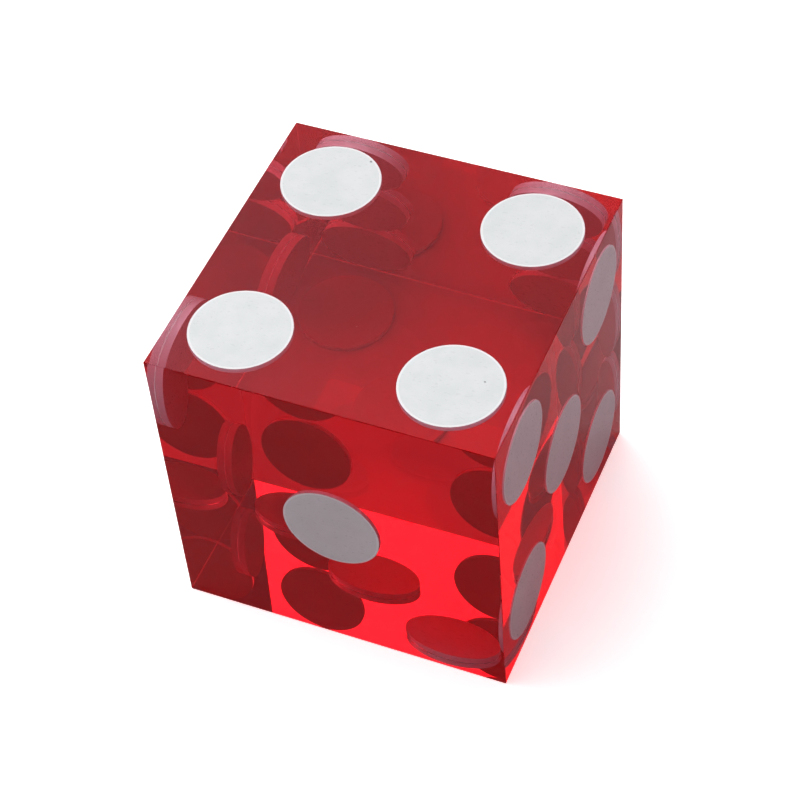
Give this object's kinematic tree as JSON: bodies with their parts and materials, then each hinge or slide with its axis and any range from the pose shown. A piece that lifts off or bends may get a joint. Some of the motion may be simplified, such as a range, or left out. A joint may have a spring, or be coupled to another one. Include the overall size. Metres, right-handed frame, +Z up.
{
  "type": "casino die",
  "caption": "Clear red cube die with sharp square edges and flush white round pips, opposite faces adding up to seven.",
  "frame": {"origin": "centre of the bottom face, the three, on the plane that the die stands on", "axes": "+Z up through the four, +X through the five, -Y through the one, +Y through the six and -X through the two"},
  "size_m": [0.019, 0.019, 0.0191],
  "materials": {
    "red_acetate": "clear red cellulose acetate, cut square and polished to a gloss on every face",
    "white_resin": "opaque white resin, ground flush and polished with the face"
  },
  "bodies": {
    "root": {"acetate_body": "red_acetate", "one_pip_centre": "white_resin", "two_pip_top_front": "white_resin", "two_pip_bottom_back": "white_resin", "three_pip_front_right": "white_resin", "three_pip_centre": "white_resin", "three_pip_back_left": "white_resin", "four_pip_back_right": "white_resin", "four_pip_back_left": "white_resin", "four_pip_front_right": "white_resin", "four_pip_front_left": "white_resin", "five_pip_top_back": "white_resin", "five_pip_top_front": "white_resin", "five_pip_centre": "white_resin", "five_pip_bottom_back": "white_resin", "five_pip_bottom_front": "white_resin", "six_pip_top_left": "white_resin", "six_pip_middle_left": "white_resin", "six_pip_bottom_left": "white_resin", "six_pip_top_right": "white_resin", "six_pip_middle_right": "white_resin", "six_pip_bottom_right": "white_resin"}
  },
  "joints": []
}
